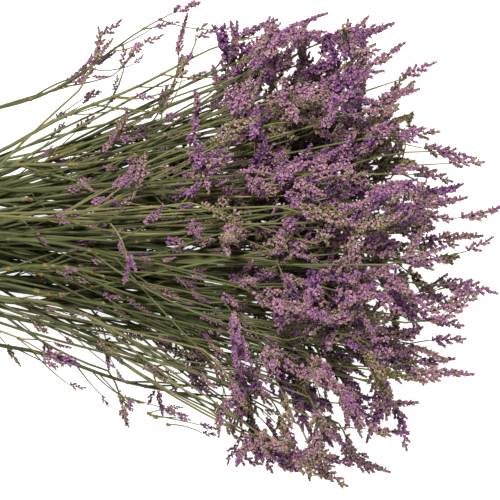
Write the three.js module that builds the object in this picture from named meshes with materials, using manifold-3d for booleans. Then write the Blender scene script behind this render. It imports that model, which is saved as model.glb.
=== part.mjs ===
// A bunch of dried statice lying on its side: long wiry sprigs held by one rubber band near their cut ends,
// fanning out to a dome of small flower plumes. Each sprig grew as one piece, so it is one solid: a stalk,
// its side branches and a plume of small flowers at the end of each. Millimetres, +X from the cut ends to
// the flowers, +Z up from the surface that the bunch lies on.
import * as THREE from "three";
import { mergeVertices } from "three/addons/utils/BufferGeometryUtils.js";
import Module from "manifold-3d";

const wasm = await Module();
wasm.setup();

// ---------- driving dimensions ----------
const SPRIGS = 46;
const BUTT_LENGTH = 90; // longest cut end, behind the band
const BUTT_UNEVENNESS = 14; // the stalks weren't all cut at one length
const REACH = 568; // from the band to the tip of the longest sprig
const DOME_DEPTH = 78; // how much sooner the outermost sprigs end
const STAGGER = 62; // how unevenly the sprigs were gathered
const HEAD_AT = 450; // from the band to where the stalks have stopped spreading
const HEAD_HALF_WIDTH = 168; // of the stalks, without their branches
const HEAD_HALF_HEIGHT = 60;
const HEAD_LIFT = 24; // under the lowest stalks, which their branches hold up

const STALK_RADIUS = 1.9;
const STALK_TIP_RADIUS = 0.95;
const STALK_SPACING = 4.7; // between the middles of neighbouring stalks in the band
const STALK_SIDES = 5;
const STALK_STEPS = 7; // from the band to its own plume

const BRANCHES = 4; // on each sprig, below the plume that ends its stalk
const BRANCH_ZONE = 240; // length of stalk that they share out
const BRANCH_ZONE_FILLED = 0.94; // share of it that ends at the last branch, nearest the stalk's own plume
const BRANCH_RADIUS = 0.75;
const BRANCH_LENGTH = 62; // without its plume
const BRANCH_ANGLE = 0.6; // radians from the stalk
const BRANCH_SIDES = 4;
const PLUME_LENGTH = 34;
const PLUME_RADIUS = 8;
const PLUME_TIP_RADIUS = 3;
const PLUME_BELLY_AT = 0.4; // share of its length from its neck

const BAND_TURNS = 3; // of the rubber band round the stalks
const BAND_TURN_WIDTH = 3.2;
const BAND_THICKNESS = 1.8;
const BAND_GROOVE = 1; // between two turns
const BAND_AT_GROOVE = 0.4; // thickness left under a groove, as a share of the whole
const BAND_SEGMENTS = 32;
const GAP = 0.35; // kept free between neighbouring pieces

// Sprigs at the edge of the bunch that stand away from it: how far out, as a multiple of the head's
// half width, and how much sooner they end than their neighbours.
const STRAYS = new Map([
  [42, { spread: 1.62, shorter: 140 }],
  [34, { spread: 1.1, shorter: 82 }],
  [38, { spread: 1.18, shorter: 40 }],
  [43, { spread: 1.26, shorter: 235 }],
  [33, { spread: 1.3, shorter: 10 }],
]);
const STRAY_BEND = 35; // length beyond the band in which they turn away
const STRAY_BRANCHES = 0.6; // length of their branches, as a share of the others'

// What a plume or a branch tries in turn until it has free space round it: smaller plumes, and branches of
// other lengths with smaller plumes, each in several directions round the stalk.
const PLUME_SIZES = [1, 0.8, 0.6, 0.4, 0.2];
const BRANCH_SIZES = [
  { longer: 1, size: 1 },
  { longer: 0.7, size: 1 },
  { longer: 1.25, size: 0.8 },
  { longer: 0.7, size: 0.7 },
  { longer: 0.5, size: 0.6 },
  { longer: 0.4, size: 0.4 },
];
const DIRECTIONS = 8;

// ---------- how the bunch opens ----------
const GOLDEN_ANGLE = Math.PI * (3 - Math.sqrt(5));
const SPIRAL_SPACING = 1.6; // nearest neighbours on the spiral, in steps of the disc's radius / sqrt(SPRIGS)
const BUNDLE_RADIUS = (STALK_SPACING / SPIRAL_SPACING) * Math.sqrt(SPRIGS);
const BAND_INNER_RADIUS = BUNDLE_RADIUS + STALK_RADIUS + GAP;
const BAND_WIDTH = BAND_TURNS * BAND_TURN_WIDTH;
const BAND_OUTER_RADIUS = BAND_INNER_RADIUS + BAND_THICKNESS;
const OPENING_POWER = 1.35; // 1 would be straight stalks, and more lets them arch outwards
const OVERSHOOT = 0.08; // how much they still open beyond HEAD_AT
const BUTT_OPENING = 0.07; // how far the cut ends splay, as a share of the head's spread
const TWIST = 0.5; // radians that each ring of stalks turns, one way or the other
const TWIST_RINGS = 9;

const fraction = (x) => x - Math.floor(x);
// A number from 0 to 1 that looks like chance and is always the same for the same n.
const chance = (n) => fraction(Math.sin(n * 12.9898 + 4.1) * 43758.5453);
const BRANCH_SEED = 7.3; // keeps the chances of one sprig's branches apart

// How far a place is from the band's nearer edge, for a place at s from the band's middle.
const clearOfBand = (s) => Math.max(0, Math.abs(s) - BAND_WIDTH / 2);

// 0 in the band and 1 where the head has its full width, at the distance s beyond the band's middle.
function openness(s) {
  const t = clearOfBand(s) / HEAD_AT;
  if (s < 0) return BUTT_OPENING * (clearOfBand(s) / BUTT_LENGTH) ** 2;
  if (t < 1) return t ** OPENING_POWER;
  return 1 + OVERSHOOT * (1 - Math.exp((-OPENING_POWER * (t - 1)) / OVERSHOOT));
}

// Each stalk keeps its own place on a disc of radius 1 across the bunch, on a sunflower's spiral, so that
// no two meet.
const placeOnDisc = (i) => Math.sqrt((i + 0.5) / SPRIGS);

function stalkPoint(i, s) {
  const open = openness(s);
  const home = placeOnDisc(i);
  const angle = i * GOLDEN_ANGLE + TWIST * open * Math.sin(TWIST_RINGS * home);
  let out = home;
  if (STRAYS.has(i) && s > 0) {
    out += (STRAYS.get(i).spread - home) * (1 - Math.exp(-clearOfBand(s) / STRAY_BEND));
  }
  const halfWidth = BUNDLE_RADIUS + (HEAD_HALF_WIDTH - BUNDLE_RADIUS) * open;
  const halfHeight = BUNDLE_RADIUS + (HEAD_HALF_HEIGHT - BUNDLE_RADIUS) * open;
  const middle = BAND_OUTER_RADIUS + (HEAD_LIFT + HEAD_HALF_HEIGHT - BAND_OUTER_RADIUS) * open;
  return new THREE.Vector3(s, out * Math.cos(angle) * halfWidth, middle + out * Math.sin(angle) * halfHeight);
}

function stalkEnd(i) {
  const sooner = STRAYS.has(i) ? STRAYS.get(i).shorter : STAGGER * chance(i);
  return REACH - DOME_DEPTH * placeOnDisc(i) ** 2 - sooner;
}

// ---------- solids ----------
const UP = new THREE.Vector3(0, 0, 1);

// A closed tube through the points, with a radius at each: a cylinder of unit size, bent ring by ring.
function tube(points, radii, sides) {
  const steps = points.length - 1;
  const geometry = new THREE.CylinderGeometry(1, 1, 1, sides, steps);
  const position = geometry.attributes.position;
  for (let v = 0; v < position.count; v++) {
    const ring = Math.round((position.getY(v) + 0.5) * steps);
    const ahead = points[Math.min(ring + 1, steps)].clone().sub(points[Math.max(ring - 1, 0)]).normalize();
    const side = new THREE.Vector3().crossVectors(ahead, UP).normalize();
    const top = new THREE.Vector3().crossVectors(side, ahead);
    const place = points[ring].clone();
    place.addScaledVector(side, position.getX(v) * radii[ring]);
    place.addScaledVector(top, position.getZ(v) * radii[ring]);
    position.setXYZ(v, place.x, place.y, place.z);
  }
  return geometry;
}

function asManifold(geometry) {
  geometry.deleteAttribute("normal");
  geometry.deleteAttribute("uv");
  const merged = mergeVertices(geometry);
  const mesh = new wasm.Mesh({
    numProp: 3,
    vertProperties: merged.attributes.position.array,
    triVerts: new Uint32Array(merged.index.array),
  });
  return new wasm.Manifold(mesh);
}

function asGeometry(manifold) {
  const mesh = manifold.getMesh();
  const geometry = new THREE.BufferGeometry();
  geometry.setAttribute("position", new THREE.BufferAttribute(mesh.vertProperties, 3));
  geometry.setIndex(new THREE.BufferAttribute(mesh.triVerts, 1));
  geometry.computeVertexNormals();
  return geometry;
}

// ---------- growing the sprigs into free space ----------
// Everything grown so far, as straight stretches with a thickness, so that a new branch can keep clear of it.
const grown = [];

function stretches(points, radii, sprig, isStalk) {
  const made = [];
  for (let k = 1; k < points.length; k++) {
    const radius = Math.max(radii[k - 1], radii[k]);
    made.push({ line: new THREE.Line3(points[k - 1], points[k]), radius, sprig, isStalk });
  }
  return made;
}

// The first stretch of a branch leaves its own stalk, so it isn't held against that stalk.
function isFree(candidate) {
  return candidate.every((stretch, order) => {
    const reach = stretch.radius + GAP;
    if (Math.min(stretch.line.start.z, stretch.line.end.z) < stretch.radius) return false;
    return grown.every((other) => {
      if (order === 0 && other.isStalk && other.sprig === stretch.sprig) return true;
      return stretch.line.distanceSqToLine3(other.line) > (reach + other.radius) ** 2;
    });
  });
}

// The places and radii of a plume along a line: a narrow neck, a full belly and a blunt tip.
function plume(from, along, neckRadius, size) {
  const stops = [
    [0, neckRadius],
    [PLUME_BELLY_AT, PLUME_RADIUS * size],
    [1, PLUME_TIP_RADIUS],
  ];
  return {
    points: stops.map(([share]) => from.clone().addScaledVector(along, PLUME_LENGTH * share)),
    radii: stops.map(([, radius]) => radius),
  };
}

function growStalk(i) {
  const end = stalkEnd(i) - PLUME_LENGTH;
  const start = -BUTT_LENGTH + BUTT_UNEVENNESS * chance(i + 0.5);
  const edge = BAND_WIDTH / 2;
  const stops = [start, -edge];
  for (let k = 0; k <= STALK_STEPS; k++) stops.push(edge + ((end - edge) * k) / STALK_STEPS);
  const points = stops.map((s) => stalkPoint(i, s));
  const radii = stops.map((s) => STALK_RADIUS + (STALK_TIP_RADIUS - STALK_RADIUS) * Math.max(0, s / end));
  grown.push(...stretches(points, radii, i, true));
  return { i, end, stalk: { points, radii }, branches: [] };
}

// The stalk's own plume is as full as its neighbours leave room for.
function growTip(sprig) {
  const { points, radii } = sprig.stalk;
  const neck = points.at(-1);
  const along = neck.clone().sub(points.at(-2)).normalize();
  for (const size of PLUME_SIZES) {
    const tip = plume(neck, along, STALK_TIP_RADIUS, size);
    const candidate = stretches(tip.points, tip.radii, sprig.i, false);
    if (!isFree(candidate)) continue;
    grown.push(...candidate);
    points.push(...tip.points.slice(1));
    radii.push(...tip.radii.slice(1));
    return;
  }
}

// A branch leaves its stalk at an angle, then bends back towards the stalk's direction and ends in a plume.
// Its root is on the straight stretch of stalk there, so that the two are sure to join.
function branchFrom(sprig, s, around, longer, size) {
  const { points } = sprig.stalk;
  const next = points.findIndex((point) => point.x > s);
  const ahead = points[next].clone().sub(points[next - 1]);
  const root = points[next - 1].clone().addScaledVector(ahead, (s - points[next - 1].x) / ahead.x);
  ahead.normalize();
  const side = new THREE.Vector3().crossVectors(ahead, UP).normalize();
  const top = new THREE.Vector3().crossVectors(side, ahead);
  const away = side.multiplyScalar(Math.cos(around)).addScaledVector(top, Math.sin(around));
  const leaving = ahead.clone().multiplyScalar(Math.cos(BRANCH_ANGLE));
  leaving.addScaledVector(away, Math.sin(BRANCH_ANGLE));
  const later = leaving.clone().add(ahead).normalize();
  const half = (BRANCH_LENGTH * longer * (STRAYS.has(sprig.i) ? STRAY_BRANCHES : 1)) / 2;
  const elbow = root.clone().addScaledVector(leaving, half);
  const neck = elbow.clone().addScaledVector(later, half);
  const end = plume(neck, later, BRANCH_RADIUS, size);
  return {
    points: [root, elbow, ...end.points],
    radii: [BRANCH_RADIUS, BRANCH_RADIUS, ...end.radii],
  };
}

// k counts a sprig's branches from its lowest.
function growBranch(sprig, k) {
  const unevenly = chance(sprig.i + k * BRANCH_SEED);
  const s = sprig.end - BRANCH_ZONE * (1 - (k + unevenly) / BRANCHES) * BRANCH_ZONE_FILLED;
  const firstChoice = (sprig.i + k) * GOLDEN_ANGLE;
  for (const { longer, size } of BRANCH_SIZES) {
    for (let turn = 0; turn < DIRECTIONS; turn++) {
      const around = firstChoice + (turn * 2 * Math.PI) / DIRECTIONS;
      const branch = branchFrom(sprig, s, around, longer, size);
      const candidate = stretches(branch.points, branch.radii, sprig.i, false);
      if (!isFree(candidate)) continue;
      grown.push(...candidate);
      sprig.branches.push(branch);
      return;
    }
  }
}

const sprigs = [];
for (let i = 0; i < SPRIGS; i++) sprigs.push(growStalk(i));
for (const sprig of sprigs) growTip(sprig);
for (let k = BRANCHES - 1; k >= 0; k--) {
  for (const sprig of sprigs) growBranch(sprig, k);
}

// ---------- the bunch ----------
const STALK_GREEN = new THREE.Color("#5f6142");
const FLOWER_MAUVE = new THREE.Color("#93728f");
const RUBBER_TAN = new THREE.Color("#b98d5a");

function sprigMesh({ i, stalk, branches }) {
  let solid = asManifold(tube(stalk.points, stalk.radii, STALK_SIDES));
  for (const branch of branches) solid = solid.add(asManifold(tube(branch.points, branch.radii, BRANCH_SIDES)));
  const color = STALK_GREEN.clone().lerp(FLOWER_MAUVE, 0.5 + 0.3 * chance(i + 0.25));
  const material = new THREE.MeshStandardMaterial({ color, roughness: 0.9, metalness: 0 });
  const mesh = new THREE.Mesh(asGeometry(solid), material);
  mesh.name = `sprig_${String(i + 1).padStart(2, "0")}`;
  return mesh;
}

// The rubber band is wound round the stalks in turns that lie side by side, with a groove between them.
function bandMesh() {
  const inner = BAND_INNER_RADIUS / Math.cos(Math.PI / BAND_SEGMENTS);
  const outer = inner + BAND_THICKNESS;
  const grooveFloor = inner + BAND_THICKNESS * BAND_AT_GROOVE;
  const profile = [new THREE.Vector2(inner, -BAND_WIDTH / 2)];
  for (let turn = 0; turn < BAND_TURNS; turn++) {
    const low = -BAND_WIDTH / 2 + turn * BAND_TURN_WIDTH;
    const high = low + BAND_TURN_WIDTH;
    const edge = BAND_GROOVE / 2;
    if (turn > 0) profile.push(new THREE.Vector2(grooveFloor, low));
    profile.push(new THREE.Vector2(outer, low + (turn > 0 ? edge : 0)));
    profile.push(new THREE.Vector2(outer, high - (turn < BAND_TURNS - 1 ? edge : 0)));
  }
  profile.push(new THREE.Vector2(inner, BAND_WIDTH / 2));
  profile.push(profile[0].clone());
  const geometry = new THREE.LatheGeometry(profile, BAND_SEGMENTS);
  geometry.rotateZ(-Math.PI / 2);
  geometry.translate(0, 0, BAND_OUTER_RADIUS);
  const material = new THREE.MeshStandardMaterial({ color: RUBBER_TAN, roughness: 0.7, metalness: 0 });
  const mesh = new THREE.Mesh(geometry, material);
  mesh.name = "rubber_band";
  return mesh;
}

const bunch = new THREE.Group();
for (const sprig of sprigs) bunch.add(sprigMesh(sprig));
bunch.add(bandMesh());

// The origin is under the middle of the bunch, on the surface that it lies on.
const box = new THREE.Box3().setFromObject(bunch, true);
const middle = box.getCenter(new THREE.Vector3());
bunch.position.set(-middle.x, -middle.y, -box.min.z);

export default bunch;
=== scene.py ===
import math
import random

import bmesh
import bpy
import numpy as np
from mathutils import Matrix, Vector


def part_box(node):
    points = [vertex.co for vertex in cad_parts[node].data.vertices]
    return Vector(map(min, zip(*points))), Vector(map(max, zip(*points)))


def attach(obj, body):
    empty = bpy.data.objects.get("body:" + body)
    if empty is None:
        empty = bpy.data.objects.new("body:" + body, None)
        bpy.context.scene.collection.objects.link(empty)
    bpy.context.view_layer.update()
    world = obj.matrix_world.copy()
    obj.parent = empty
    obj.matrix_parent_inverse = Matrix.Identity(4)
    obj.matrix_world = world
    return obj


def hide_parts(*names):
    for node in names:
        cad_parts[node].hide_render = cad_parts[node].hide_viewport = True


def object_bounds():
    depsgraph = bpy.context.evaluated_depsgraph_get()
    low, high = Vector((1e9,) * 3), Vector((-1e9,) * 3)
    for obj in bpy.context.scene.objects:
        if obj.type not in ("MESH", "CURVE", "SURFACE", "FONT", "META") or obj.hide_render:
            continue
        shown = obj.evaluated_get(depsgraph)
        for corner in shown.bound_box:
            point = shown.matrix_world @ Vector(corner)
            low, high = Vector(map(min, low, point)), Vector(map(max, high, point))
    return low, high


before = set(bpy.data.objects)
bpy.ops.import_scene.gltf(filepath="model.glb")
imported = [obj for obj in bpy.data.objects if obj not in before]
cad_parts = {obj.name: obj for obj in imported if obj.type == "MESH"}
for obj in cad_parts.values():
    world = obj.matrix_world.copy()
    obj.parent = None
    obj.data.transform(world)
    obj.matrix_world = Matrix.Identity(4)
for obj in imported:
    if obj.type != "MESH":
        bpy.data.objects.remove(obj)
cad_low, cad_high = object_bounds()

# The studio: a camera straight above the bunch, which lies with its cut ends to the left, outside the
# view. A pale floor, a soft light from the upper left, a weaker one opposite it, and pale surroundings.
MM = 0.001
VIEW_WIDTH = 0.375
CAMERA_HEIGHT = 2.6
SENSOR = 36
VIEW_MIDDLE_TO_TIPS = 0.186
VIEW_SHIFT = -0.001
HEAD_TO_TIPS = 0.2

tips = cad_high[0]
head_height = (cad_low[2] + cad_high[2]) / 2
view_middle = Vector((tips - VIEW_MIDDLE_TO_TIPS, (cad_low[1] + cad_high[1]) / 2 + VIEW_SHIFT, head_height))

camera_data = bpy.data.cameras.new("camera")
camera_data.sensor_width = SENSOR
camera_data.lens = SENSOR * CAMERA_HEIGHT / VIEW_WIDTH
camera_data.clip_end = 20
camera = bpy.data.objects.new("camera", camera_data)
camera.location = view_middle + Vector((0, 0, CAMERA_HEIGHT))
bpy.context.collection.objects.link(camera)
bpy.context.scene.camera = camera


def linear(hex_colour):
    """The linear RGBA of an sRGB hex colour."""
    parts = [int(hex_colour[k : k + 2], 16) / 255 for k in (1, 3, 5)]
    return [c / 12.92 if c <= 0.04045 else ((c + 0.055) / 1.055) ** 2.4 for c in parts] + [1]


def add_node(tree, kind, inputs=None, **settings):
    """Adds a node. An input is a number, a colour, or another node's output to link."""
    made = tree.nodes.new(kind)
    for name, value in settings.items():
        setattr(made, name, value)
    for name, value in (inputs or {}).items():
        if isinstance(value, bpy.types.NodeSocket):
            tree.links.new(value, made.inputs[name])
        else:
            made.inputs[name].default_value = value
    return made


def new_material(name):
    """An empty material and its node tree."""
    material = bpy.data.materials.new(name)
    material.use_nodes = True
    material.node_tree.nodes.clear()
    return material, material.node_tree


def add_area_light(name, place, aim, size, watts, colour):
    """A square light that faces the point aimed at."""
    data = bpy.data.lights.new(name, "AREA")
    data.size = size
    data.energy = watts
    data.color = linear(colour)[:3]
    painted_highlight_and_shade = bpy.data.objects.new(name, data)
    painted_highlight_and_shade.location = place
    painted_highlight_and_shade.rotation_euler = (aim - Vector(place)).to_track_quat("-Z", "Y").to_euler()
    bpy.context.collection.objects.link(painted_highlight_and_shade)


bm = bmesh.new()
bmesh.ops.create_grid(bm, x_segments=1, y_segments=1, size=4)
floor_mesh = bpy.data.meshes.new("floor")
bm.to_mesh(floor_mesh)
bm.free()
floor = bpy.data.objects.new("floor", floor_mesh)
floor.location.z = -0.0005
bpy.context.collection.objects.link(floor)

# White paper, matt, which looks bright and even to the camera and throws a little light back up.
paper, tree = new_material("white_studio_paper")
diffuse = add_node(tree, "ShaderNodeBsdfDiffuse", {"Color": linear("#c9c8c6")})
glow = add_node(tree, "ShaderNodeEmission", {"Color": linear("#ffffff"), "Strength": 0.85})
seen = add_node(tree, "ShaderNodeLightPath")
both = add_node(tree, "ShaderNodeMixShader", {0: seen.outputs["Is Camera Ray"], 1: diffuse.outputs[0]})
total = add_node(tree, "ShaderNodeAddShader", {0: diffuse.outputs[0], 1: glow.outputs[0]})
tree.links.new(total.outputs[0], both.inputs[2])
add_node(tree, "ShaderNodeOutputMaterial", {"Surface": both.outputs[0]})
floor.data.materials.append(paper)

head = Vector((tips - HEAD_TO_TIPS, 0, 0.05))
add_area_light("softbox", (tips - 0.4, 0.7, 1.3), head, 0.34, 34, "#fff8ea")
add_area_light("fill", (tips + 0.6, -0.9, 1.1), head, 1.2, 24, "#fff9ee")
world = bpy.data.worlds.new("studio")
world.use_nodes = True
tree = world.node_tree
tree.nodes.clear()
seen = add_node(tree, "ShaderNodeLightPath")
strength = add_node(tree, "ShaderNodeMapRange", {0: seen.outputs["Is Camera Ray"], 3: 0.15, 4: 0.95})
walls = add_node(tree, "ShaderNodeBackground", {"Color": linear("#ffffff"), "Strength": strength.outputs[0]})
add_node(tree, "ShaderNodeOutputWorld", {"Surface": walls.outputs[0]})
bpy.context.scene.world = world
bpy.context.scene.view_settings.view_transform = "Standard"

# The stalks: one round wiry stem to each sprig, cut straight across, stripped and dried. Each starts at its
# own place in the rubber band, on a sunflower's spiral across the bunch, and keeps that place while the
# bunch opens to the size of the flower head. Lengths from here on are millimetres.
SPRIGS = len([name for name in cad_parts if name.startswith("sprig_")])
BUTT_LENGTH = 90
BUTT_UNEVENNESS = 14
REACH = 568
DOME_DEPTH = 78
STAGGER = 62
HEAD_AT = 450
HEAD_HALF_WIDTH = 164
HEAD_HALF_HEIGHT = 60
HEAD_LIFT = 24
STALK_RADIUS = 1.9
STALK_TIP_RADIUS = 0.45
STALK_SPACING = 4.7
SPIRAL_SPACING = 1.6
BAND_WIDTH = 9.6
BAND_THICKNESS = 1.8
GAP = 0.35
FLOOR_GAP = 1.6
STRAYS = {42: (1.62, 140), 34: (1.1, 82), 38: (1.18, 40), 43: (1.26, 235), 33: (1.3, 10)}
STRAY_BEND = 35
OPENING_POWER = 1.35
OVERSHOOT = 0.08
BUTT_OPENING = 0.07
TWIST = 0.5
TWIST_RINGS = 9
GOLDEN_ANGLE = math.pi * (3 - math.sqrt(5))
BUNDLE_RADIUS = STALK_SPACING / SPIRAL_SPACING * math.sqrt(SPRIGS)
BAND_OUTER_RADIUS = BUNDLE_RADIUS + STALK_RADIUS + GAP + BAND_THICKNESS

band_low, band_high = (Vector(corner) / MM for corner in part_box("rubber_band"))
band_middle = (band_low + band_high) / 2
UP = Vector((0, 0, 1))


def chance(n):
    """A settled number from 0 to 1 for each n."""
    return math.sin(n * 12.9898 + 4.1) * 43758.5453 % 1


def clear_of_band(s):
    """How far the distance s along the bunch lies outside the rubber band."""
    return max(0, abs(s) - BAND_WIDTH / 2)


def openness(s):
    """0 in the band and 1 where the head has its full width, at the distance s beyond the band."""
    t = clear_of_band(s) / HEAD_AT
    if s < 0:
        return BUTT_OPENING * (clear_of_band(s) / BUTT_LENGTH) ** 2
    if t < 1:
        return t**OPENING_POWER
    return 1 + OVERSHOOT * (1 - math.exp(-OPENING_POWER * (t - 1) / OVERSHOOT))


def stalk_point(i, s):
    """The middle of stalk i at the distance s beyond the band."""
    opening = openness(s)
    home = math.sqrt((i + 0.5) / SPRIGS)
    angle = i * GOLDEN_ANGLE + TWIST * opening * math.sin(TWIST_RINGS * home)
    out = home
    if i in STRAYS and s > 0:
        out += (STRAYS[i][0] - home) * (1 - math.exp(-clear_of_band(s) / STRAY_BEND))
    half_width = BUNDLE_RADIUS + (HEAD_HALF_WIDTH - BUNDLE_RADIUS) * opening
    half_height = BUNDLE_RADIUS + (HEAD_HALF_HEIGHT - BUNDLE_RADIUS) * opening
    rise = (HEAD_LIFT + HEAD_HALF_HEIGHT - BAND_OUTER_RADIUS) * opening
    across = out * math.cos(angle) * half_width
    return band_middle + Vector((s, across, rise + out * math.sin(angle) * half_height))


def stalk_end(i):
    """How far stalk i reaches beyond the band. The outer ones and the strays end sooner."""
    sooner = STRAYS[i][1] if i in STRAYS else STAGGER * chance(i)
    return REACH - DOME_DEPTH * (i + 0.5) / SPRIGS - sooner


# Every stalk, branch and twig is one round bar bent along its own line. In its UV map, u picks the tone and
# v runs along the stem.
BAKE_MAP = "OFBake"
BAR_SIDES = {"stalk": 8, "branch": 6, "twig": 4}
ROUND_THE_BAR = 0.06


def shape_mesh(bm, name):
    """The mesh of a finished bmesh."""
    mesh = bpy.data.meshes.new(name)
    bm.to_mesh(mesh)
    bm.free()
    return mesh


def unit_bar(sides, steps, capped=True):
    """A bar of radius 1 and length 1 along Z. Its UV map has u round the bar and v along it."""
    bm = bmesh.new()
    bmesh.ops.create_cone(bm, cap_ends=capped, segments=sides, radius1=1, radius2=1, depth=1)
    lengthwise = [e for e in bm.edges if abs(e.verts[0].co.z - e.verts[1].co.z) > 0.5]
    if steps > 1:
        bmesh.ops.subdivide_edges(bm, edges=lengthwise, cuts=steps - 1)
    bmesh.ops.translate(bm, verts=bm.verts, vec=(0, 0, 0.5))
    uv = bm.loops.layers.uv.new(BAKE_MAP)
    for face in bm.faces:
        middle = face.calc_center_median()
        face_turn = math.atan2(middle.y, middle.x)
        for loop in face.loops:
            turn = math.atan2(loop.vert.co.y, loop.vert.co.x) - face_turn
            turn = face_turn + (turn + math.pi) % (2 * math.pi) - math.pi
            loop[uv].uv = (turn / (2 * math.pi) + 0.5, loop.vert.co.z)
        face.smooth = len(face.verts) == 4
    return shape_mesh(bm, f"unit_bar_{sides}_{steps}")


def read(mesh):
    """The vertices and the UV map of a mesh as arrays."""
    places = np.empty(len(mesh.vertices) * 3, np.float32)
    mesh.vertices.foreach_get("co", places)
    uvs = np.empty(len(mesh.loops) * 2, np.float32)
    mesh.uv_layers[BAKE_MAP].data.foreach_get("uv", uvs)
    return places.reshape(-1, 3), uvs.reshape(-1, 2)


def add_copy(bm, mesh, places, uvs):
    """Adds a copy of a mesh, with its vertices moved and its UV map changed."""
    copy = mesh.copy()
    copy.vertices.foreach_set("co", np.ascontiguousarray(places, np.float32).ravel())
    copy.uv_layers[BAKE_MAP].data.foreach_set("uv", np.ascontiguousarray(uvs, np.float32).ravel())
    bm.from_mesh(copy)
    bpy.data.meshes.remove(copy)


bars = {}


def bend_bar(bm, kind, line, radii, tint, start, end):
    """Bends a bar along a line. tint places it across the material's tones, start and end along them."""
    steps = len(line) - 1
    key = BAR_SIDES[kind], steps
    if key not in bars:
        bars[key] = unit_bar(*key)
        bars[key, "arrays"] = read(bars[key])
    places, uvs = bars[key, "arrays"]
    ring = np.rint(places[:, 2] * steps).astype(int)
    centres = np.array([p[:] for p in line])
    ahead = np.gradient(centres, axis=0)
    ahead /= np.linalg.norm(ahead, axis=1)[:, None]
    side = np.cross(ahead, UP[:])
    side /= np.linalg.norm(side, axis=1)[:, None]
    top = np.cross(side, ahead)
    wide = np.array(radii)[ring][:, None]
    bent = centres[ring] + (top[ring] * places[:, 0:1] + side[ring] * places[:, 1:2]) * wide
    moved = np.column_stack([tint + (uvs[:, 0] - 0.5) * ROUND_THE_BAR, start + uvs[:, 1] * (end - start)])
    add_copy(bm, bars[key], bent, moved)


def branch_line(root, ahead, around, angle, length, steps, curl):
    """The points of a branch that leaves at an angle, bends back towards its parent's direction and keeps
    off the floor."""
    side = ahead.cross(UP).normalized()
    away = side * math.cos(around) + side.cross(ahead) * math.sin(around)
    line = [root.copy()]
    for k in range(1, steps + 1):
        lean = angle * (1 - curl * k / steps)
        step = (ahead * math.cos(lean) + away * math.sin(lean)) * length / steps
        place = line[-1] + step
        place.z = max(place.z, FLOOR_GAP)
        line.append(place)
    return line


def along_line(line, share):
    """The place and the direction at a share of a line's length."""
    k = min(int(share * (len(line) - 1)), len(line) - 2)
    part = share * (len(line) - 1) - k
    return line[k].lerp(line[k + 1], part), (line[k + 1] - line[k]).normalized()


# A dried green stem: matt and finely streaked along its length, olive green low down, paler and greyer
# towards the flowers. Some stems are yellower, and the scales at the forks are brown.
stalk_material, tree = new_material("dried_green_stem")
uv_map = add_node(tree, "ShaderNodeUVMap", uv_map=BAKE_MAP)
parts = add_node(tree, "ShaderNodeSeparateXYZ", {"Vector": uv_map.outputs["UV"]})
tone = add_node(tree, "ShaderNodeValToRGB", {"Fac": parts.outputs["X"]})


def set_stops(ramp, stops):
    """The places and hex colours of a colour ramp."""
    elements = ramp.color_ramp.elements
    while len(elements) < len(stops):
        elements.new(1)
    for element, (place, colour) in zip(elements, stops):
        element.position = place
        element.color = linear(colour)


set_stops(tone, [(0, "#41472b"), (0.2, "#51583a"), (0.4, "#616748"), (0.6, "#6d7156"), (0.78, "#7e7c5d"),
                 (0.86, "#8b7650"), (1, "#6e4630")])
tops = add_node(tree, "ShaderNodeValToRGB", {"Fac": parts.outputs["Y"]})
set_stops(tops, [(0, "#8d8468"), (0.12, "#979787"), (0.5, "#a2a395"), (1, "#b2ae9c")])
streak_place = add_node(tree, "ShaderNodeMapping", {"Vector": uv_map.outputs["UV"], "Scale": (90, 26, 1)})
streaks = add_node(tree, "ShaderNodeTexNoise", {"Vector": streak_place.outputs[0], "Scale": 1, "Detail": 3},
                   noise_dimensions="2D")
blend = add_node(tree, "ShaderNodeMix", {0: 1.0, 6: tone.outputs["Color"], 7: tops.outputs["Color"]},
                 data_type="RGBA", blend_type="SOFT_LIGHT")
lift = add_node(tree, "ShaderNodeMapRange", {0: streaks.outputs[0], 1: 0.3, 2: 0.7, 3: 0.76, 4: 1.28})
shade = add_node(tree, "ShaderNodeMix", {0: 1.0, 6: blend.outputs[2], 7: lift.outputs[0]},
                 data_type="RGBA", blend_type="MULTIPLY")
skin = add_node(tree, "ShaderNodeBsdfPrincipled",
                {"Base Color": shade.outputs[2], "Roughness": 0.72, "Specular IOR Level": 0.35})
add_node(tree, "ShaderNodeOutputMaterial", {"Surface": skin.outputs[0]})

# The flowers: papery florets 2 to 3 mm long, each a funnel-shaped calyx with a small bract at its foot.
# They crowd along one side of a short spike, and the spikes stand to the left and right of a spray.
FLORET_LENGTH = 2.5
FLORET_RADIUS = 0.95
FLORET_SIDES = 5
FLORET_SPACING = 0.82
THROAT_DEPTH = 0.5
BRACT_LENGTH = 2
BRACT_RADIUS = 0.5
SPIKE_FLORETS = [8, 7, 9, 8, 6, 7]
SPRAY_AXIS_RADIUS = 0.28
# How a spike's florets face and lean, how wide they stand open, and how narrow the buds at its tip are.
FLORET_TURNS = (-1.15, 0.35, 1.2, -0.35, 2.8)
FLORET_LEAN = (0.65, 1.05)
FLORETS_OPEN = (0.75, 1.1)
BUDS_OPEN = (0.4, 0.7)
BUDS_FROM = 0.7
FLORET_SIZES = (0.8, 1.1)
# How a spray bows, and how its spikes stand.
SPRAY_BOW = (-0.012, 0.022)
SPRAY_DRIFT = (-0.012, 0.012)
SPIKE_SPACING = 2.7
SPIKE_ANGLES = (0.45, 0.85)
SPIKE_SIZES = (0.95, 1.2)
SPIKE_TINTS = (-0.09, 0.1)
NEAR_END = 0.999
SPRAY_SEEDS = 40
# The number of spikes in each kind of spray, and how far they spread.
SPRAY_KINDS = [(6, 1), (8, 0.7), (5, 1.1), (6, 0.8), (9, 0.55), (7, 1), (4, 1)]


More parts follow.
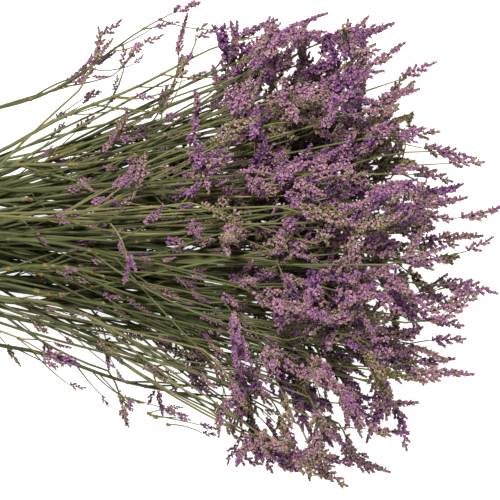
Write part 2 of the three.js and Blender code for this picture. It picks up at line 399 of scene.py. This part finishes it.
def floret():
    """A funnel along Z with a sunken mouth, and its bract. In the UV map, v is over 0.3 on the funnel only."""
    bm = bmesh.new()
    funnel = bmesh.ops.create_cone(bm, cap_ends=True, segments=FLORET_SIDES, radius1=0, radius2=FLORET_RADIUS,
                                   depth=FLORET_LENGTH)["verts"]
    bmesh.ops.translate(bm, verts=funnel, vec=(0, 0, FLORET_LENGTH / 2))
    mouth = max(bm.faces, key=lambda face: face.calc_center_median().z)
    throat = bmesh.ops.poke(bm, faces=[mouth])["verts"]
    bmesh.ops.translate(bm, verts=throat, vec=(0, 0, -THROAT_DEPTH))
    # In the UV map, v climbs the funnel to 0.87 at the rim, where the material paints a highlight, and is 1 in
    # the sunken throat, where it paints shade.
    uv = bm.loops.layers.uv.new(BAKE_MAP)
    for face in bm.faces:
        for loop in face.loops:
            co = loop.vert.co
            height = 1 if loop.vert in throat else 0.32 + 0.55 * co.z / FLORET_LENGTH
            loop[uv].uv = (0.5 + 0.012 * co.x, height)
    before = set(bm.faces)
    bract = bmesh.ops.create_cone(bm, cap_ends=True, segments=3, radius1=BRACT_RADIUS, radius2=0,
                                  depth=BRACT_LENGTH)["verts"]
    turn = Matrix.Translation((-0.35, 0, 0.7)) @ Matrix.Rotation(-0.3, 4, "Y")
    bmesh.ops.transform(bm, matrix=turn, verts=bract)
    for face in set(bm.faces) - before:
        for loop in face.loops:
            co = loop.vert.co
            loop[uv].uv = (0.5 + 0.012 * co.y, 0.04 + 0.2 * max(0, min(1, co.z / 1.2)))
    bmesh.ops.recalc_face_normals(bm, faces=bm.faces)
    return shape_mesh(bm, "floret")


def placed(mesh_arrays, matrix, tint):
    """A mesh's arrays turned and moved by a matrix, and shifted across the tones of its material."""
    places, uvs = mesh_arrays
    turned = places @ np.array(matrix.to_3x3()).T + np.array(matrix.translation)
    shifted = uvs + np.array([tint, 0])
    return turned, np.clip(shifted, 0.005, 0.995)


def axis_tones(uvs, u, v, rise):
    """The UV map of a spike's or a spray's own stem, which takes one small patch of the florets' tones."""
    return np.column_stack([u + 0.01 * uvs[:, 0], v + rise * uvs[:, 1]])


def along_axis(direction, up):
    """The rotation that takes Z to a direction, and X as near to up as it goes."""
    z = direction.normalized()
    x = (up - z * up.dot(z)).normalized()
    return Matrix((x, z.cross(x), z)).transposed().to_4x4()


def spike(seed, florets, floret_mesh, twig_mesh):
    """A spike along Z, crowded with florets on the side that faces X."""
    dice = random.Random(seed)
    bm = bmesh.new()
    floret_arrays = read(floret_mesh)
    axis = Matrix.Diagonal((1.0, 1.0, florets * FLORET_SPACING, 1))
    places, uvs = placed(read(twig_mesh), axis, 0)
    add_copy(bm, twig_mesh, places, axis_tones(uvs, 0.4, 0.36, 0.1))
    for k in range(florets):
        share = k / (florets - 1)
        turn = FLORET_TURNS[k % len(FLORET_TURNS)] + dice.uniform(-0.3, 0.3)
        out = Vector((math.cos(turn), math.sin(turn), 0))
        lean = dice.uniform(*FLORET_LEAN) * (1 - 0.55 * share)
        direction = Vector((0, 0, 1)) * math.cos(lean) + out * math.sin(lean)
        size = (1 - 0.25 * share) * dice.uniform(*FLORET_SIZES)
        slim = dice.uniform(*(FLORETS_OPEN if share < BUDS_FROM else BUDS_OPEN))
        place = Matrix.Translation(Vector((0, 0, k * FLORET_SPACING)) + out * 0.12)
        matrix = place @ along_axis(direction, out) @ Matrix.Diagonal((size * slim, size * slim, size, 1))
        tint = -0.2 + 0.3 * share**2 + dice.uniform(-0.12, 0.16)
        add_copy(bm, floret_mesh, *placed(floret_arrays, matrix, tint))
    return shape_mesh(bm, f"spike_{seed}")


def spray(seed, spikes, spreading, spike_meshes, twig_mesh):
    """A spray along Z: spikes to the left and right of an arched axis, all turned towards X."""
    dice = random.Random(seed)
    bm = bmesh.new()
    length = spikes * SPIKE_SPACING
    bow = dice.uniform(*SPRAY_BOW)
    drift = dice.uniform(*SPRAY_DRIFT)
    line = [Vector((bow * z * z, drift * z * z, z)) for z in np.linspace(0, length, 4)]
    for start, end in zip(line, line[1:]):
        reach = (end - start).length * 1.05
        matrix = Matrix.Translation(start) @ along_axis(end - start, Vector((1, 0, 0)))
        matrix = matrix @ Matrix.Diagonal((SPRAY_AXIS_RADIUS, SPRAY_AXIS_RADIUS, reach, 1))
        places, uvs = placed(read(twig_mesh), matrix, 0)
        add_copy(bm, twig_mesh, places, axis_tones(uvs, 0.7, 0.05, 0.05))
    for k in range(spikes):
        share = k / (spikes - 1)
        place, ahead = along_line(line, min(0.12 + 0.85 * share, NEAR_END))
        row = 1 if k % 2 else -1
        spread = spreading * dice.uniform(*SPIKE_ANGLES) * (1 - 0.5 * share) if k < spikes - 1 else 0
        out = Vector((dice.uniform(0.1, 0.8), row, 0)).normalized()
        direction = ahead * math.cos(spread) + out * math.sin(spread)
        size = dice.uniform(*SPIKE_SIZES) * (1 - 0.25 * share)
        up = Vector((1, 0, 0)) + out * 0.35
        matrix = Matrix.Translation(place) @ along_axis(direction, up) @ Matrix.Scale(size, 4)
        mesh = dice.choice(spike_meshes)
        add_copy(bm, mesh, *placed(read(mesh), matrix, dice.uniform(*SPIKE_TINTS)))
    return shape_mesh(bm, f"spray_{seed}")


floret_mesh = floret()
thin_twig = unit_bar(3, 1)
spike_meshes = [spike(seed, florets, floret_mesh, thin_twig) for seed, florets in enumerate(SPIKE_FLORETS)]
spray_meshes = [spray(SPRAY_SEEDS + k, *kind, spike_meshes, thin_twig) for k, kind in enumerate(SPRAY_KINDS)]
spray_arrays = [read(mesh) for mesh in spray_meshes]

# Papery dried florets: matt, violet where they kept their colour and faded through mauve and tan to olive
# brown, with tan bracts. A painted highlight makes the rims pale, and painted shade darkens the funnels
# towards their feet and deep in the sunken throats.
bloom_material, tree = new_material("papery_dried_florets")
uv_map = add_node(tree, "ShaderNodeUVMap", uv_map=BAKE_MAP)
parts = add_node(tree, "ShaderNodeSeparateXYZ", {"Vector": uv_map.outputs["UV"]})
petal = add_node(tree, "ShaderNodeValToRGB", {"Fac": parts.outputs["X"]})
set_stops(petal, [(0, "#633c78"), (0.15, "#8f5aa4"), (0.3, "#b07bb3"), (0.46, "#bd90af"), (0.58, "#b6989d"),
                  (0.7, "#a4987e"), (0.84, "#938662"), (1, "#6f6446")])
bract = add_node(tree, "ShaderNodeValToRGB", {"Fac": parts.outputs["X"]})
set_stops(bract, [(0, "#725c48"), (0.35, "#8b7a56"), (0.7, "#7d764a"), (1, "#5c5434")])
height = add_node(tree, "ShaderNodeValToRGB", {"Fac": parts.outputs["Y"]})
set_stops(height, [(0, "#000000"), (0.3, "#000000"), (0.62, "#ffffff"), (1, "#ffffff")])
# Painted light along each floret by its height: a painted highlight at the rim, and painted shade towards the
# foot of the funnel and in the throat.
painted_highlight_and_shade = add_node(tree, "ShaderNodeValToRGB", {"Fac": parts.outputs["Y"]})
set_stops(painted_highlight_and_shade, [(0, "#a8a8a8"), (0.5, "#b0b0b0"), (0.78, "#d8d8d8"), (0.87, "#ffffff"), (1, "#707070")])
colour = add_node(tree, "ShaderNodeMix",
                  {0: height.outputs["Color"], 6: bract.outputs["Color"], 7: petal.outputs["Color"]},
                  data_type="RGBA")
shade = add_node(tree, "ShaderNodeMix", {0: 1.0, 6: colour.outputs[2], 7: painted_highlight_and_shade.outputs["Color"]},
                 data_type="RGBA", blend_type="MULTIPLY")
petals = add_node(tree, "ShaderNodeBsdfPrincipled",
                  {"Base Color": shade.outputs[2], "Roughness": 0.8, "Specular IOR Level": 0.25})
add_node(tree, "ShaderNodeOutputMaterial", {"Surface": petals.outputs[0]})

# The sprigs: each grew as one piece, a stalk with long side branches, each branch ending in a plume of short
# twigs, with a spray of florets at the end of every twig and a brown scale under every fork. The bunch is
# flattened a little where it lies on the floor.
# The stalk: how finely it bends, how it thins, and how far and in what waves it wavers.
STALK_STOPS = 30
STALK_TAPER = 1.8
SOONER_OUTSIDE = 30
INTO_END_SPRAY = 6
STALK_END_SPRAY = (1.2, 1.5)
SWAY = 6.5
SWAY_GROWS_OVER = 200
SWAY_WAVE = 47
FINE_SWAY = 0.5
FINE_SWAY_WAVE = 21
UPWARD_SWAY = 0.7
UPWARD_SWAY_WAVE = 53
# The long branches: how many, where they leave, how far they reach and how they bend.
BRANCHES = 10
MORE_INSIDE = 26
FEWER_ON_STRAYS = 6
FEWER_BESIDE = 2
BRANCHES_FROM = 60
BRANCH_LENGTHS = (130, 345)
SHORTER_OUTSIDE = 190
SHORTER_ON_STRAYS = 0.55
RUNS_ALONG = 0.93
BRANCH_STEPS = 7
BRANCH_ANGLES = (0.25, 0.85)
WIDEST = 1.2
NARROWS_OVER = 330
BRANCH_CURLS = (0.1, 1.2)
BRANCH_THICKNESS = 0.66
BRANCH_TAPER = 0.55
THINNEST_BRANCH = 0.4
# Where the flowers begin, later on the outside and along one side, and how they crowd towards the end.
FLOWERS_FROM = 322
LATER_OUTSIDE = 30
LATER_BESIDE = 90
BESIDE_FROM = 0.3
WELL_BESIDE = 0.15
LEAST_WITH_FLOWERS = 75
BELOW_END = 8
CROWDING = 0.6
# The few flowers that come early, on branches or on short twigs of the stalk itself.
EARLY_BRANCHES = 2
EARLY_BY = (10, 80)
EARLY_FROM = 205
EARLY_TO = FLOWERS_FROM + 10
EARLY_SPRAYS = 7
EARLY_REACH = (14, 46)
EARLY_ANGLES = (0.35, 0.95)
EARLY_CURLS = (0.1, 0.9)
EARLY_SCALE_RADIUS = 0.9
# The plumes: short twigs along the end of a branch, which bends outwards.
PLUME_LENGTH = 34
PLUME_STEPS = 5
PLUME_ANGLES = (0.2, 0.8)
PLUME_CURL = -0.9
OUTWARDS_FROM = 120
TWIGS = [2, 3, 5]
FEW_TWIGS = [1, 2, 2]
TWIGS_TO = 0.95
TWIG_REACH = (3, 8)
TWIG_TURN = 1.2
TWIG_ANGLES = (0.2, 0.7)
TWIG_CURL = 0.3
TWIG_RADII = [0.42, 0.38, 0.34, 0.3]
TWIG_SCALE_RADIUS = 0.5
EARLY_TWIG_RADII = [0.55, 0.5, 0.45, 0.4, 0.34]
# The sizes of the sprays.
SPRAY_SIZES = (0.95, 1.35)
END_SPRAY_SIZES = (1.1, 1.5)
EARLY_SPRAY_SIZES = (0.5, 0.95)
SMALL_SPRAYS = 0.72
# The tones of the wood and the scales, and how far each sprig, plume and spray has faded.
STALK_TINTS = (0.05, 0.75)
BRANCH_TINTS = (-0.04, 0.04)
TWIG_TINTS = (-0.04, 0.1)
SCALE_TONES = [0.8, 0.86, 0.88, 0.96]
SPRIG_FADING = (-0.14, 0.14)
PLUME_FADING = [-0.16, -0.1, -0.02, 0.04, 0.1, 0.26]
SPRAY_FADING = (-0.1, 0.12)
EARLY_FADING = (-0.15, 0.2)
# The room the sprigs keep to: off the floor, and within the bunch's width and height.
STALK_FLOOR_GAP = FLOOR_GAP + 0.6
SPRAY_FLOOR_GAP = 4.5
LEVEL_BELOW = 16
LOWEST = 0.4
PRESSED_OVER = 6
HALF_WIDTH = 164
TOP = 164
EDGE = 12
TURNED_IN_WITHIN = 60
TRIES = 20
SPRIG_SEEDS = 1000


def add_scale(bm, place, ahead, radius, dice):
    """The papery scale that clasps a fork from below."""
    line = [place - ahead * radius * 1.2, place + ahead * radius * 0.4, place + ahead * radius * 3.2]
    widths = [radius * 1.12, radius * 1.4, radius * 0.3]
    bend_bar(bm, "twig", line, widths, dice.choice(SCALE_TONES), 0.4, 0.6)


def add_spray(bm, place, ahead, dice, size, tint):
    """A spray that carries on from a twig. It keeps off the floor and within the bunch's width and height."""
    direction = ahead + Vector([dice.uniform(-0.3, 0.3) for _ in range(3)])
    if place.z < LEVEL_BELOW:
        direction.z = max(direction.z, 0.02)
    if abs(place.y) > HALF_WIDTH - EDGE or place.z > TOP - EDGE:
        direction = Vector((max(ahead.x, 0.7), 0.4 * ahead.y, 0.4 * ahead.z))
    up = UP + Vector([dice.uniform(-0.7, 0.7) for _ in range(3)])
    kind = dice.randrange(len(spray_meshes))
    matrix = Matrix.Translation(place) @ along_axis(direction, up) @ Matrix.Scale(size, 4)
    add_copy(bm, spray_meshes[kind], *placed(spray_arrays[kind], matrix, tint))


def finish_piece(bm, name, material, node):
    """Presses a piece onto the floor, scales it to metres and hands it over in place of its node."""
    mesh = shape_mesh(bm, name)
    places = np.empty(len(mesh.vertices) * 3, np.float32)
    mesh.vertices.foreach_get("co", places)
    low = places[2::3] < LOWEST
    places[2::3][low] = LOWEST * np.exp((places[2::3][low] - LOWEST) / PRESSED_OVER)
    mesh.vertices.foreach_set("co", places * MM)
    mesh.update()
    mesh.materials.append(material)
    piece = bpy.data.objects.new(name, mesh)
    bpy.context.collection.objects.link(piece)
    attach(piece, "root")
    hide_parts(node)


def wavering_line(i, stops, dice):
    """The line of stalk i through its stops, which wavers more the further it is from the band."""
    line = [stalk_point(i, s) for s in stops]
    phases = [dice.uniform(0, 2 * math.pi) for _ in range(4)]
    for place, s in zip(line, stops):
        sway = SWAY * min(1, clear_of_band(s) / SWAY_GROWS_OVER) if s > 0 else 0
        wave = sway * math.sin(s / SWAY_WAVE + phases[0])
        fine_wave = FINE_SWAY * sway * math.sin(s / FINE_SWAY_WAVE + phases[1])
        place.y += wave + fine_wave
        place.z += UPWARD_SWAY * sway * math.sin(s / UPWARD_SWAY_WAVE + phases[2])
        place.z = max(place.z, STALK_FLOOR_GAP)
    return line


def branch_within(root, ahead, length, dice):
    """A branch, the plume it ends in and the way the plume turns: straighter at each try, until it fits."""
    for attempt in range(TRIES):
        spread = 1 - attempt / TRIES
        angle = dice.uniform(*BRANCH_ANGLES) * (WIDEST - length / NARROWS_OVER) * spread
        around = dice.uniform(0, 2 * math.pi)
        curl = dice.uniform(*BRANCH_CURLS)
        branch = branch_line(root, ahead, around, angle, length - PLUME_LENGTH, BRANCH_STEPS, curl)
        fork, on = branch[-1], (branch[-1] - branch[-2]).normalized()
        around = dice.uniform(0, 2 * math.pi)
        if dice.random() < abs(fork.y) / OUTWARDS_FROM:
            around = (0 if fork.y < 0 else math.pi) + dice.gauss(0, 1)
        angle = dice.uniform(*PLUME_ANGLES) * spread
        plume = branch_line(fork, on, around, angle, PLUME_LENGTH, PLUME_STEPS, PLUME_CURL)
        branch += plume[1:]
        if max(abs(p.y) for p in branch) < HALF_WIDTH and max(p.z for p in branch) < TOP:
            break
    return branch, plume, around


def add_twig(bm, line, ahead, radii, tint, pale_from, scale_radius, dice):
    """A twig along a line, with a scale at its foot."""
    bend_bar(bm, "twig", line, radii, tint + dice.uniform(*TWIG_TINTS), pale_from, 1)
    add_scale(bm, line[0], ahead, scale_radius, dice)


def end_in_spray(bm, line, dice, grown, sizes, faded, fading):
    """The spray at the end of a twig or a branch, which starts clear of the floor."""
    tip, out = along_line(line, NEAR_END)
    tip.z = max(tip.z, SPRAY_FLOOR_GAP)
    add_spray(bm, tip, out, dice, grown * dice.uniform(*sizes), faded + dice.uniform(*fading))


def grow_sprig(i):
    """Grows sprig i as two pieces, its wood and its flowers."""
    dice = random.Random(SPRIG_SEEDS + i)
    node = f"sprig_{i + 1:02d}"
    stray = i in STRAYS
    wood = bmesh.new()
    bloom = bmesh.new()
    start = -BUTT_LENGTH + BUTT_UNEVENNESS * chance(i + 0.5)
    end = stalk_end(i) - SOONER_OUTSIDE * (i / SPRIGS) ** 1.5
    full = end - start
    beside = max(0, -stalk_point(i, HEAD_AT).y / HEAD_HALF_WIDTH - BESIDE_FROM)
    tint = dice.uniform(*STALK_TINTS)
    sprig_faded = dice.uniform(*SPRIG_FADING)

    stops = np.linspace(start, end + INTO_END_SPRAY, STALK_STOPS)
    line = wavering_line(i, stops, dice)
    thinning = STALK_TIP_RADIUS - STALK_RADIUS
    radii = [STALK_RADIUS + thinning * max(0, s / end) ** STALK_TAPER for s in stops]
    bend_bar(wood, "stalk", line, radii, tint, 0, 1)
    place, ahead = along_line(line, NEAR_END)
    add_spray(bloom, place, ahead, dice, dice.uniform(*STALK_END_SPRAY), sprig_faded)

    count = BRANCHES + dice.randrange(-1, 2) + (i < MORE_INSIDE)
    if stray:
        count -= FEWER_ON_STRAYS
    elif beside > WELL_BESIDE:
        count -= FEWER_BESIDE
    first = FLOWERS_FROM + LATER_OUTSIDE * math.sqrt(i / SPRIGS) + LATER_BESIDE * beside
    first = min(first, end - LEAST_WITH_FLOWERS)
    for k in range(count):
        outer = (k + dice.uniform(0.1, 0.9)) / count
        early = k < EARLY_BRANCHES and not stray
        sooner = dice.uniform(*EARLY_BY) if early else 0
        tip_at = first + (end - BELOW_END - first) * outer**CROWDING - sooner
        length = dice.uniform(BRANCH_LENGTHS[0], BRANCH_LENGTHS[1] - SHORTER_OUTSIDE * i / SPRIGS)
        length = min(length, tip_at - BRANCHES_FROM) * (SHORTER_ON_STRAYS if stray else 1)
        share = (tip_at - RUNS_ALONG * length - start) / full
        root, ahead = along_line(line, share)
        radius = radii[int(share * (len(line) - 1))]
        branch, plume, around = branch_within(root, ahead, length, dice)
        steps = len(branch) - 1
        tapered = [1 - BRANCH_TAPER * t / steps for t in range(steps + 1)]
        slim = [max(THINNEST_BRANCH, radius * BRANCH_THICKNESS * part) for part in tapered]
        bend_bar(wood, "branch", branch, slim, tint + dice.uniform(*BRANCH_TINTS), 0.35 + 0.5 * share, 1)
        add_scale(wood, root, ahead, radius, dice)

        twigs = dice.choice(FEW_TWIGS if stray or early else TWIGS)
        grown = SMALL_SPRAYS if stray or early else 1
        faded = sprig_faded + dice.choice(PLUME_FADING)
        for j in range(twigs):
            fork, on = along_line(plume, TWIGS_TO * (j + dice.uniform(0.1, 0.9)) / twigs)
            reach = dice.uniform(*TWIG_REACH)
            turn = (1 if j % 2 else -1) * TWIG_TURN + around + dice.uniform(-0.5, 0.5)
            angle = dice.uniform(*TWIG_ANGLES)
            twig = branch_line(fork, on, turn, angle, reach, len(TWIG_RADII) - 1, TWIG_CURL)
            add_twig(wood, twig, on, TWIG_RADII, tint, 0.85, TWIG_SCALE_RADIUS, dice)
            end_in_spray(bloom, twig, dice, grown, SPRAY_SIZES, faded, SPRAY_FADING)
        end_in_spray(bloom, branch, dice, grown, END_SPRAY_SIZES, faded, SPRAY_FADING)

    for _ in range(EARLY_SPRAYS):
        root, ahead = along_line(line, (dice.uniform(EARLY_FROM, EARLY_TO) - start) / full)
        reach = dice.uniform(*EARLY_REACH)
        around = dice.uniform(0, 2 * math.pi)
        if abs(root.y) > HALF_WIDTH - TURNED_IN_WITHIN:
            around = (0 if root.y > 0 else math.pi) + (around - math.pi) / 3
        angle = dice.uniform(*EARLY_ANGLES)
        curl = dice.uniform(*EARLY_CURLS)
        twig = branch_line(root, ahead, around, angle, reach, len(EARLY_TWIG_RADII) - 1, curl)
        add_twig(wood, twig, ahead, EARLY_TWIG_RADII, tint, 0.7, EARLY_SCALE_RADIUS, dice)
        end_in_spray(bloom, twig, dice, 1, EARLY_SPRAY_SIZES, sprig_faded, EARLY_FADING)
    finish_piece(wood, f"{node}_stalk", stalk_material, node)
    finish_piece(bloom, f"{node}_flowers", bloom_material, node)


for i in range(SPRIGS):
    grow_sprig(i)

# The rubber band: one closed loop of tan rubber, stretched round the stalks three times. Its last turn
# crosses back over the others on top of the bunch, so that it lies flat under it.
BAND_TURNS = 3
BAND_PITCH = 3.2
BAND_STEPS = 216
RUBBER_WIDTH = 2.8
RUBBER_THICKNESS = 1.3
RUBBER_SIDES = 10
CROSSING = 1.1

bare_radius = BUNDLE_RADIUS + STALK_RADIUS + GAP
rubber = unit_bar(RUBBER_SIDES, BAND_STEPS, capped=False)
places, uvs = read(rubber)
along = np.linspace(0, 1, BAND_STEPS + 1)
turned = math.pi / 2 + CROSSING + along * BAND_TURNS * 2 * math.pi
crossed = np.clip((turned - turned[-1] + CROSSING * 2) / (CROSSING * 2), 0, 1)
crossed = crossed * crossed * (3 - 2 * crossed)
wound = along / along[np.argmax(crossed > 0)]
sideways = (np.minimum(wound, 1) - 0.5) * (BAND_TURNS - 1) * BAND_PITCH * (1 - 2 * crossed)
lifted = bare_radius + RUBBER_THICKNESS * (0.5 + 1.15 * np.sin(math.pi * crossed) ** 0.6)
outwards = np.column_stack([0 * turned, np.cos(turned), np.sin(turned)])
middles = outwards * lifted[:, None] + np.column_stack([sideways, 0 * turned, 0 * turned])
onwards = np.roll(middles[:-1], -1, axis=0) - np.roll(middles[:-1], 1, axis=0)
onwards = np.vstack([onwards, onwards[:1]])
across = np.cross(onwards, outwards)
across /= np.linalg.norm(across, axis=1)[:, None]
ring = np.rint(places[:, 2] * BAND_STEPS).astype(int)
wide = across[ring] * places[:, 0:1] * RUBBER_WIDTH / 2
thick = outwards[ring] * places[:, 1:2] * RUBBER_THICKNESS / 2
bm = bmesh.new()
add_copy(bm, rubber, middles[ring] + wide + thick + np.array(band_middle), uvs)
bmesh.ops.remove_doubles(bm, verts=bm.verts, dist=0.02)
bmesh.ops.recalc_face_normals(bm, faces=bm.faces)

# Tan natural rubber: smooth with a dull gleam, and faintly mottled with the powder that keeps it from
# sticking.
rubber_material, tree = new_material("tan_natural_rubber")
where = add_node(tree, "ShaderNodeTexCoord")
dust = add_node(tree, "ShaderNodeTexNoise", {"Vector": where.outputs["Object"], "Scale": 900, "Detail": 4})
tan = add_node(tree, "ShaderNodeValToRGB", {"Fac": dust.outputs[0]})
set_stops(tan, [(0.3, "#a5794a"), (0.7, "#bf9562")])
sheet = add_node(tree, "ShaderNodeBsdfPrincipled",
                 {"Base Color": tan.outputs["Color"], "Roughness": 0.55, "Specular IOR Level": 0.4})
add_node(tree, "ShaderNodeOutputMaterial", {"Surface": sheet.outputs[0]})
finish_piece(bm, "rubber_band_strand", rubber_material, "rubber_band")
